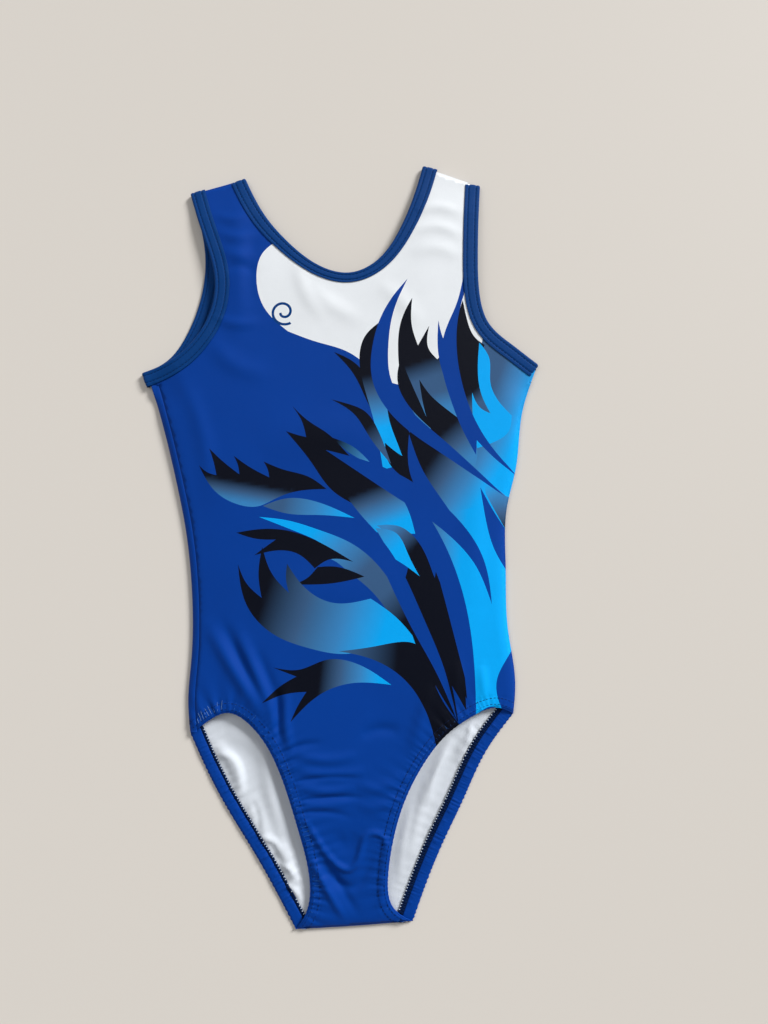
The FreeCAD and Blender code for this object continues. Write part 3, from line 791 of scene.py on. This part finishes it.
def tube(name, points, material, closed_way=True, closed_round=True):
    """Faces over a grid of points: rows run along the piece and columns round its section."""
    rows, columns = points.shape[:2]
    i, j = np.meshgrid(np.arange(rows if closed_way else rows - 1),
                       np.arange(columns if closed_round else columns - 1), indexing="ij")
    after, beside = (i + 1) % rows, (j + 1) % columns
    corners = [i * columns + j, after * columns + j, after * columns + beside, i * columns + beside]
    faces = np.stack([corner.ravel() for corner in corners], 1).tolist()
    if closed_round and not closed_way:
        faces.append(list(range(columns))[::-1])
        faces.append([(rows - 1) * columns + k for k in range(columns)])
    return piece(name, points.reshape(-1, 3), faces, [material])


def section(*corners, step):
    """A closed cross-section through corners (inwards, outwards), with points in between."""
    found = []
    for start, end in zip(corners, corners[1:] + corners[:1]):
        count = max(1, round(math.dist(start, end) / step))
        share = np.linspace(0, 1, count, endpoint=False)[:, None]
        found.append(np.array(start) + share * (np.array(end) - np.array(start)))
    return np.concatenate(found)


def half_round(top, bottom):
    """The round end of a fold, from its top to its bottom."""
    radius = (top - bottom) / 2
    angle = np.linspace(0, math.pi, 9)
    return np.stack([radius - radius * np.sin(angle), (top + bottom) / 2 + radius * np.cos(angle)], 1)


def binding_section(rows):
    """A strip folded round an edge, with a dip at each row of stitches on both faces."""
    top, bottom = HALF + BINDING, UNDER - BINDING
    spacing, dip_depth, crown = 0.42, 0.36, 0.25
    inwards = np.linspace(BINDING_WIDTH, (top - bottom) / 2, int(BINDING_WIDTH / spacing))
    dip = sum(dip_depth * bump_at(inwards - row, ROW_DIP) for row in rows)
    swell = crown * np.sin(math.pi * np.clip(inwards / BINDING_WIDTH, 0, 1)) ** 0.6 - dip
    upper = np.stack([inwards, top + swell], 1)
    lower = np.stack([inwards, bottom - swell], 1)[::-1]
    inner = section((BINDING_WIDTH, UNDER), (FOLD, UNDER), (FOLD, HALF), (BINDING_WIDTH, HALF), step=2.0)
    return np.concatenate([upper, half_round(top, bottom)[1:-1], lower, inner[:-1]])


def binding(name, hoop, rows, scale, node):
    """The folded binding of one opening. Scale narrows it at each place along the way."""
    profile = binding_section(rows)
    seed = len(name)
    ripple = 0.07 * wander(hoop.at, 4.2, seed) + 0.05 * wander(hoop.at, 2.6, 2 * seed)
    swell = np.clip(profile[:, 0] / 3, 0, 1) * np.sign(profile[:, 1] + HALF)
    points = hoop.lay(profile[:, 0] * scale[:, None], profile[:, 1] + ripple[:, None] * swell)
    made = tube(name, points, BINDING_KNIT)
    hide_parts(node)


def hem(name, hoop):
    """The turned hem of one leg: the fold, and the flap that lies inside."""
    top, bottom = HALF, UNDER - FABRIC
    radius = (top - bottom) / 2
    flap = section((radius + 0.5, bottom), (HEM_WIDTH, bottom), (HEM_WIDTH, bottom + FABRIC),
                   (radius, bottom + FABRIC), (radius, top - FABRIC), (radius + 0.4, top - FABRIC),
                   step=0.7)
    profile = np.concatenate([half_round(top, bottom), flap[:-2]])
    inwards, outwards = profile.T
    rib_height, puff_height, scallop_depth = 0.6, 0.5, 0.32
    ribs = rib_height * np.abs(wander(hoop.at, 2.4, 1.3))
    puff = puff_height * np.sin(math.pi * np.clip(inwards / HEM_WIDTH, 0, 1))
    below = (outwards < bottom + 0.1) & (inwards > radius)
    offset = np.where(below, -(puff + ribs[:, None]), 0)
    scallop = scallop_depth * wander(hoop.at, 3.4, 2.7) * np.where(hoop.on_front, 0.4, 1.0)
    edge_share = np.clip(1 - inwards / 3, 0, 1)
    points = hoop.lay(inwards + scallop[:, None] * edge_share, outwards + offset)
    made = tube(name, points, PRINTED_KNIT)
    corners = corner_vertices(made)
    front = np.repeat(hoop.on_front, len(profile))[corners]
    paint(made, np.where(front[:, None], printed(points.reshape(-1, 3)[corners, :2]), ROYAL))


def strip_along(name, hoop, inwards, outwards, material):
    """A flat strip at one place in the section."""
    near, far = inwards
    low, high = outwards
    profile = section((near, high), (near, low), (far, low), (far, high), step=0.8)
    return tube(name, hoop.lay(*profile.T), material)


def elastic(name, hoop, node):
    """The band that draws one opening together."""
    slack = 0.04
    band = strip_along(name, hoop, ELASTIC, (UNDER + slack, -HALF - slack), ELASTIC_WEB)
    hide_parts(node)


# Rings of a short thread: how far along from its middle, and how wide and how high it is there
THREAD_RINGS = ((-0.5, 0.25, -0.5), (-0.3, 0.9, 0.1), (0.3, 0.9, 0.1), (0.5, 0.25, -0.5))


def threads(name, runs, thick, material):
    """Short lengths of thread. Each is given by its two ends and the way out of the cloth."""
    ends = np.array([run[0] for run in runs])
    way = ends[:, 1] - ends[:, 0]
    size = np.linalg.norm(way, axis=1)[:, None]
    way = unit(way)
    side = unit(np.cross(way, np.array([run[1] for run in runs])))
    up = np.cross(side, way)
    centre = ends.mean(1) - up * 0.05
    points = np.zeros((len(runs), 4, 6, 3))
    for k, (share, wide, rise) in enumerate(THREAD_RINGS):
        core = centre + way * size * share + up * thick * rise
        for m in range(6):
            angle = m * math.pi / 3
            points[:, k, m] = core + (side * math.cos(angle) + up * math.sin(angle)) * thick * wide
    one = [(6 * k + m, 6 * k + (m + 1) % 6, 6 * k + 6 + (m + 1) % 6, 6 * k + 6 + m)
           for k in range(3) for m in range(6)]
    one += [tuple(5 - m for m in range(6)), tuple(18 + m for m in range(6))]
    faces = [tuple(24 * n + v for v in face) for n in range(len(runs)) for face in one]
    return piece(name, points.reshape(-1, 3), faces, [material])


def stitches(name, lines):
    """Rows of single stitches along lines, each a list of points and of the ways out of the cloth."""
    runs = []
    for line, normals in lines:
        at = travelled(line)
        for middle in np.arange(STITCH / 2, at[-1] - STITCH / 2, STITCH + STITCH_GAP):
            start, stop = middle - STITCH / 2, middle + STITCH / 2
            ends = np.stack([np.interp((start, stop), at, column) for column in line.T], 1)
            runs.append((ends, [np.interp(middle, at, column) for column in normals.T]))
    return threads(name, runs, THREAD, DARK_THREAD)


def crossings(name, hoop, inwards, outwards, spacing, thick, material):
    """Short threads that lie across an opening's edge, all the way round it."""
    ends = hoop.lay(inwards, outwards)
    above = hoop.lay(inwards, outwards + math.copysign(0.5, outwards))
    shortest = 0.6 * (inwards[1] - inwards[0])
    runs = []
    for at in np.arange(0, hoop.at[-1], spacing):
        i = min(np.searchsorted(hoop.at, at), hoop.count - 1)
        outward = (above[i] - ends[i]).mean(0)
        if math.dist(*ends[i]) > shortest and outward.any():
            runs.append((ends[i], outward))
    return threads(name, runs, thick, material)


def row_line(hoop, inwards, outwards):
    """One closed row round an opening, with the directions out of the cloth."""
    line = hoop.lay_row(inwards, outwards)
    normals = unit(hoop.lay_row(inwards, outwards + 0.5) - line) * (1 if outwards > 0 else -1)
    return np.concatenate([line, line[:1]]), np.concatenate([normals, normals[:1]])


# ---------------------------------------------------------------- materials

WAVE_PERIOD = 0.314        # of the wave texture at a scale of 1
MIX_FACTOR, MIX_FIRST, MIX_SECOND, MIX_RESULT = 0, 6, 7, 2     # sockets of a mix of two colours


def knit(name, colour, roughness, sheen, wale, course, depth):
    """Fine knitted cloth. Colour is one colour, or None for the printed one. Wale and course are
    the spacings of its loops across and along, and depth is how far they stand out."""
    material = bpy.data.materials.new(name)
    material.use_nodes = True
    nodes, links = material.node_tree.nodes, material.node_tree.links
    shader = nodes["Principled BSDF"]
    shader.inputs["Sheen Weight"].default_value = sheen
    shader.inputs["Sheen Roughness"].default_value = 0.45
    shader.inputs["Specular IOR Level"].default_value = 0.07
    place = nodes.new("ShaderNodeTexCoord").outputs["Object"]

    def node(kind, **values):
        made = nodes.new("ShaderNode" + kind)
        for key, value in values.items():
            if key in made.inputs:
                made.inputs[key].default_value = value
            else:
                setattr(made, key, value)
        return made

    def wave(direction, period, wobble):
        made = node("TexWave", bands_direction=direction, Scale=WAVE_PERIOD / (period * MM),
                    Distortion=wobble, Detail=1.0)
        links.new(place, made.inputs["Vector"])
        return made.outputs["Fac"]

    def noise(scale, detail):
        made = node("TexNoise", Scale=scale, Detail=detail)
        links.new(place, made.inputs["Vector"])
        return made.outputs["Fac"]

    def maths(operation, first, second):
        made = node("Math", operation=operation)
        for socket, value in zip(made.inputs, (first, second)):
            if isinstance(value, (int, float)):
                socket.default_value = value
            else:
                links.new(value, socket)
        return made.outputs[0]

    loops = maths("MULTIPLY", wave("X", wale, 0.6), maths("ADD", 0.6, wave("Y", course, 0.8)))
    fuzz, cloudy = noise(900.0, 2.0), noise(28.0, 4.0)
    height = maths("ADD", loops, maths("MULTIPLY", fuzz, 0.5))
    bump = node("Bump", Strength=1.0, Distance=depth * MM)
    links.new(height, bump.inputs["Height"])
    links.new(bump.outputs["Normal"], shader.inputs["Normal"])
    shade = maths("ADD", maths("MULTIPLY", loops, 0.10), maths("MULTIPLY", cloudy, 0.14))
    shade = maths("ADD", shade, 0.86)
    mix = node("Mix", data_type="RGBA", blend_type="MULTIPLY")
    mix.inputs[MIX_FACTOR].default_value = 1.0
    if colour is None:
        source = node("Attribute", attribute_name="print")
        links.new(source.outputs["Color"], mix.inputs[MIX_FIRST])
    else:
        mix.inputs[MIX_FIRST].default_value = (*colour, 1)
    links.new(shade, mix.inputs[MIX_SECOND])
    links.new(mix.outputs[MIX_RESULT], shader.inputs["Base Color"])
    rough = maths("ADD", roughness - 0.05, maths("MULTIPLY", cloudy, 0.1))
    links.new(rough, shader.inputs["Roughness"])
    return material


def yarn(name, colour, sheen=0.1):
    """Sewing thread, with a fine twist."""
    return knit(name, colour, 0.5, sheen, 0.35, 0.35, 0.05)


PRINTED_KNIT = knit("printed_knit", None, roughness=0.5, sheen=0.02, wale=0.55, course=0.42, depth=0.05)
# the inside and the lining take the white greyed with painted shade
INSIDE_KNIT = knit("inside_knit", INSIDE_WHITE_AND_PAINTED_SHADE, roughness=0.7, sheen=0.1, wale=0.55, course=0.42, depth=0.06)
LINING_KNIT = knit("lining_knit", INSIDE_WHITE_AND_PAINTED_SHADE, roughness=0.75, sheen=0.1, wale=0.7, course=0.5, depth=0.08)
BINDING_KNIT = knit("binding_knit", TEAL, roughness=0.45, sheen=0.02, wale=0.5, course=0.4, depth=0.06)
ELASTIC_WEB = knit("elastic_web", ECRU, roughness=0.6, sheen=0.05, wale=0.9, course=0.7, depth=0.15)
DARK_THREAD = yarn("dark_thread", NAVY, sheen=0.02)
PALE_THREAD = yarn("pale_thread", ICE)
TICK_THREAD_AND_PAINTED_HIGHLIGHT = yarn("tick_thread", TICK_BLUE_AND_PAINTED_HIGHLIGHT)
OVERLAP_THREAD = yarn("overlap_thread", HAZE)


# ---------------------------------------------------------------- the pieces

# Edges where the front's cloth turns down to the back's, and how far inwards the turn starts
TURNED = {"shoulder_left": (STRAP_LEFT, 1.5), "shoulder_right": (STRAP_RIGHT, 1.5),
          "underarm_left": (UNDERARM_LEFT, 1.5), "side_left": (SIDE_LEFT, 0.7), "crotch": (CROTCH, 0.7)}


def turned_edges():
    """The cloth of the closed edges, with the seam as a crease along its middle."""
    angle = np.linspace(0, math.pi, 13)
    crease = 0.3 * bump_at(angle - 0.45 * math.pi, 0.25)
    for name, (edge, room) in TURNED.items():
        bound = BINDING_WIDTH - 2.0 if name.startswith("shoulder") else 0.0
        at = np.linspace(bound, edge.length - bound, int(edge.length / 1.2))
        start = edge.inside(at, room + 0.05)
        top, bottom = front_height(start) + HALF, back_height(start) - HALF
        middle = (top + bottom) / 2
        shells = []
        for thin in (0.0, FABRIC):
            inwards = room + 0.05 - (room - thin - crease) * np.sin(angle)
            spots = np.stack([edge.inside(at, near) for near in inwards], 1)
            heights = middle[:, None] + np.cos(angle) * ((top - bottom) / 2 - thin)[:, None]
            shells.append(raised(spots, heights))
        points = np.concatenate([shells[0], shells[1][:, ::-1]], 1)
        made = tube(f"front_panel_turn_{name}", points, PRINTED_KNIT, closed_way=False)
        corners = corner_vertices(made)
        flat = points.reshape(-1, 3)[corners]
        upper = flat[:, 2] > np.repeat(middle, points.shape[1])[corners] - 0.2
        paint(made, np.where(upper[:, None], printed(flat[:, :2]), ROYAL))


def insets(bound, hems):
    """How far in from its edges a panel starts, and leaves the rest to a binding, hem or turn."""
    return [(edge, FOLD) for edge in bound] + [(edge, 0.8) for edge in hems] + list(TURNED.values())


def panels():
    """The front and the back, each one closed sheet of cloth."""
    front = cloth("front_panel_cloth", FRONT_OUTLINE,
                  insets(FRONT_BOUND, FRONT_HEMS) + [(SIDE_RIGHT, SIDE_WRAP)], FRONT_HEMS,
                  front_height, [outline for outline, _ in PRINT])
    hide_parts("front_panel")
    back = cloth("back_panel_cloth", BACK_OUTLINE, insets(BACK_BOUND, BACK_HEMS), BACK_HEMS,
                 back_height, [], under=True)
    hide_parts("back_panel")
    return front, back


def side_wrap():
    """The back panel's right side, brought over onto the front as far as the seam."""
    along_it = np.arange(-8.0, SIDE_RIGHT.length - 0.5, 1.5)
    faces = (((SIDE_WRAP, 3.0, 0.9), front_height, -HALF), ((0.7, 3.0), back_height, HALF),
             (np.linspace(3.0, 0.05, 5), back_height, -HALF),
             (np.linspace(0.05, SIDE_WRAP, 9), front_height, HALF))
    columns = []
    for reach, height, outwards in faces:
        for inwards in reach:
            spot = SIDE_RIGHT.inside(along_it, inwards)
            columns.append(raised(spot, height(spot) + outwards))
    made = tube("back_panel_side_wrap", np.stack(columns, 1), PRINTED_KNIT, closed_way=False)
    paint(made, np.tile(ROYAL, (len(made.data.loops), 1)))


def openings():
    """The bindings of the neck and armholes, with their elastics and rows of stitches."""
    sunk = 0.08
    for kind, side, hoop, rows, narrowing in (("neck", "", NECK, NECK_ROWS, NECK_NARROWING),
                                              ("armhole", "_left", ARM_LEFT, BINDING_ROWS, 0.0),
                                              ("armhole", "_right", ARM_RIGHT, BINDING_ROWS, 0.0)):
        scale = 1 - narrowing / BINDING_WIDTH * np.sin(math.pi * hoop.front_share) ** 2
        binding(f"{kind}_binding_fold{side}", hoop, rows, scale, f"{kind}_binding{side}")
        elastic(f"{kind}_elastic_band{side}", hoop, f"{kind}_elastic{side}")
        faces = (HALF + BINDING - sunk, UNDER - BINDING + sunk)
        thread = stitches(f"{kind}_stitches{side}",
                          [row_line(hoop, row * scale, face) for row in rows for face in faces])
        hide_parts(f"{kind}_topstitch{side}")


def overlock(side, hoop):
    """Dark thread over the raw edge of a hem, with loops across it and pale dots where they turn."""
    flap, far = UNDER - FABRIC, HEM_WIDTH + OVERLOCK_WIDTH[side]
    base = strip_along(f"leg_overlock_base_{side}", hoop, (HEM_WIDTH - 0.2, far - 0.4),
                       (flap, flap + FABRIC), DARK_THREAD)
    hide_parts(f"leg_overlock_{side}")
    loops = crossings(f"leg_overlock_loops_{side}", hoop, (HEM_WIDTH - 0.4, far), flap - 0.15, 1.1,
                      LOOP_THREAD, DARK_THREAD)
    dots = crossings(f"leg_overlock_dots_{side}", hoop, (far - 1.1, far - 0.1), flap - 0.55, 2.2,
                     LOOP_THREAD, PALE_THREAD)


def legs():
    """The hems of the leg holes, with their elastics, overlocking and stitches."""
    for side, hoop in (("left", LEG_LEFT), ("right", LEG_RIGHT)):
        hem(f"leg_hem_{side}", hoop)
        elastic(f"leg_elastic_band_{side}", hoop, f"leg_elastic_{side}")
        overlock(side, hoop)
        thread = stitches(f"leg_stitches_{side}", [row_line(hoop, row, HALF + 0.02) for row in HEM_ROWS])
        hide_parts(f"leg_topstitch_{side}")
        # light-blue ticks across the hem: cover stitches that also serve as painted highlights on the
        # hem's puckers
        cover_stitches_and_highlights = crossings(f"leg_cover_stitches_and_highlights_{side}", hoop, (HEM_ROWS[0], HEM_ROWS[1] + 1.0), HALF,
                          3.4, FINE_THREAD, TICK_THREAD_AND_PAINTED_HIGHLIGHT)


def stitch_overlap():
    """The zigzag where the hem stitches end over their start, at the right hip."""
    count, start, spacing, lean = 9, 11.0, 2.2, 0.9
    runs = []
    for number in range(count):
        at, far = start + spacing * number, 6.5 + 3.5 * abs(math.sin(2.1 * number))
        along = np.array([at - lean, at + lean * math.sin(number)])
        ends = FRONT_LEG_RIGHT.inside(along, [HEM_ROWS[0], far])
        runs.append((raised(ends, front_height(ends) + HALF + 0.12), (0, 0, 1)))
    overlap = threads("leg_stitches_overlap", runs, FINE_THREAD, OVERLAP_THREAD)


def above_back(xy):
    """Height of a seam allowance that lies on the inside of the back."""
    return back_height(xy) + HALF + 0.45


def below_front(xy):
    """Height of one that hangs under the front."""
    return front_height(xy) - HALF - 0.5


def seams():
    """The overlocked seam allowances: narrow ribbed strips inside, along the closed edges."""
    width, low, high = 4.5, -0.4, 0.4
    rib_height, rib_spacing = 0.35, 1.6
    for name, side, edge, near, height, start, stop in (
            ("side_seam", "_left", SIDE_LEFT, 1.0, above_back, 12, 6),
            ("side_seam", "_right", SIDE_RIGHT, 3.2, below_front, 6, 12),
            ("shoulder_seam", "_left", STRAP_LEFT, 1.0, above_back, 12, 12),
            ("shoulder_seam", "_right", STRAP_RIGHT, 1.0, above_back, 12, 12),
            ("crotch_seam", "", CROTCH, 1.6, above_back, 14, 14)):
        along_it = np.arange(start, edge.length - stop, 0.5)
        profile = section((near, high), (near, low), (near + width, low), (near + width, high), step=0.9)
        ribs = 1 + rib_height * np.abs(np.sin(math.pi * along_it / rib_spacing))
        spots = np.stack([edge.inside(along_it, inwards) for inwards in profile[:, 0]], 1)
        heights = height(spots.reshape(-1, 2)).reshape(spots.shape[:2]) + profile[:, 1] * ribs[:, None]
        made = tube(f"{name}_strip{side}", raised(spots, heights), PALE_THREAD, closed_way=False)
        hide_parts(f"{name}{side}")


def lining():
    """The gusset lining: one strip of cloth folded at the crotch, between the leg hems."""
    share = np.linspace(0, 1, 60)
    fold, clear_of_hem = -275.5, 11.7
    halves = []
    for hems, top, height, buried, lift in (
            (FRONT_HEMS, -196.0, front_height, -HALF - 0.05, -HALF - 0.35),
            (BACK_HEMS, -214.0, back_height, HALF - 0.4, HALF + 0.3)):
        found = []
        for level in share:
            y = top + (fold - top) * level
            ends = []
            for hem_edge in hems:
                index = np.abs(hem_edge.xy[:, 1] - y).argmin()
                ends.append(hem_edge.inside(hem_edge.at[index], clear_of_hem)[0])
            line = ends[0] + share[:, None] * (ends[1] - ends[0])
            line[:, 1] = y
            found.append(raised(line, height(line) + buried + (lift - buried) * ease(level * 4)))
        halves.append(np.array(found))
    sheet = np.concatenate([halves[0], halves[1][::-1]])
    made = tube("gusset_lining_cloth", sheet, LINING_KNIT, closed_way=False, closed_round=False)
    thick = made.modifiers.new("thickness", "SOLIDIFY")
    thick.thickness = 0.16 * MM
    thick.offset = 0
    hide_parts("gusset_lining")
    return made


# ---------------------------------------------------------------- the stage

FLOOR_SIZE = 6             # metres
SKY_LIGHT = 0.32
LAMPS = (                  # place, how soft its shadows are, strength
    ((2.3, 1.9, 1.6), 0.32, 3.9),
    ((-1.2, 0.6, 1.6), 0.6, 0.45),
)
CAMERA_PLACE = (0.02966, -0.04038, 0.56984)    # metres
CAMERA_TIP, CAMERA_ROLL = 5.4, -1.815          # degrees
LENS, SENSOR = 27.07, 36


def stage():
    """A plain pale floor, a soft sky and two lamps."""
    bpy.ops.mesh.primitive_plane_add(size=FLOOR_SIZE)
    floor = bpy.context.object
    floor.name = "floor"
    material = bpy.data.materials.new("floor")
    material.use_nodes = True
    shader = material.node_tree.nodes["Principled BSDF"]
    shader.inputs["Base Color"].default_value = (*FLOOR, 1)
    shader.inputs["Roughness"].default_value = 0.7
    floor.data.materials.append(material)
    world = bpy.data.worlds.new("studio")
    world.use_nodes = True
    sky = world.node_tree.nodes["Background"]
    sky.inputs["Color"].default_value = (1, 1, 1, 1)
    sky.inputs["Strength"].default_value = SKY_LIGHT
    bpy.context.scene.world = world
    bpy.context.scene.view_settings.view_transform = "Standard"
    for place, softness, strength in LAMPS:
        lamp = bpy.data.lights.new("soft_light", "SUN")
        lamp.angle = softness
        lamp.energy = strength
        made = bpy.data.objects.new("soft_light", lamp)
        made.location = place
        made.rotation_euler = (-Vector(place)).to_track_quat("-Z", "Y").to_euler()
        bpy.context.scene.collection.objects.link(made)


def camera():
    """A phone held above the garment, tipped a little towards its shoulders."""
    tip, roll = math.radians(CAMERA_TIP), math.radians(CAMERA_ROLL)
    ahead = Vector((0, math.sin(tip), -math.cos(tip)))
    up = Vector((0, math.cos(tip), math.sin(tip)))
    right = Vector((1, 0, 0))
    across = math.cos(roll) * right + math.sin(roll) * up
    above = -math.sin(roll) * right + math.cos(roll) * up
    lens = bpy.data.cameras.new("camera")
    lens.sensor_width = SENSOR
    lens.lens = LENS
    made = bpy.data.objects.new("camera", lens)
    facing = Matrix((across, above, -ahead)).transposed().to_4x4()
    made.matrix_world = Matrix.Translation(CAMERA_PLACE) @ facing
    bpy.context.scene.collection.objects.link(made)
    bpy.context.scene.camera = made


front_cloth, back_cloth = panels()
turned_edges()
side_wrap()
openings()
legs()
stitch_overlap()
seams()
gusset_cloth = lining()
stage()
camera()
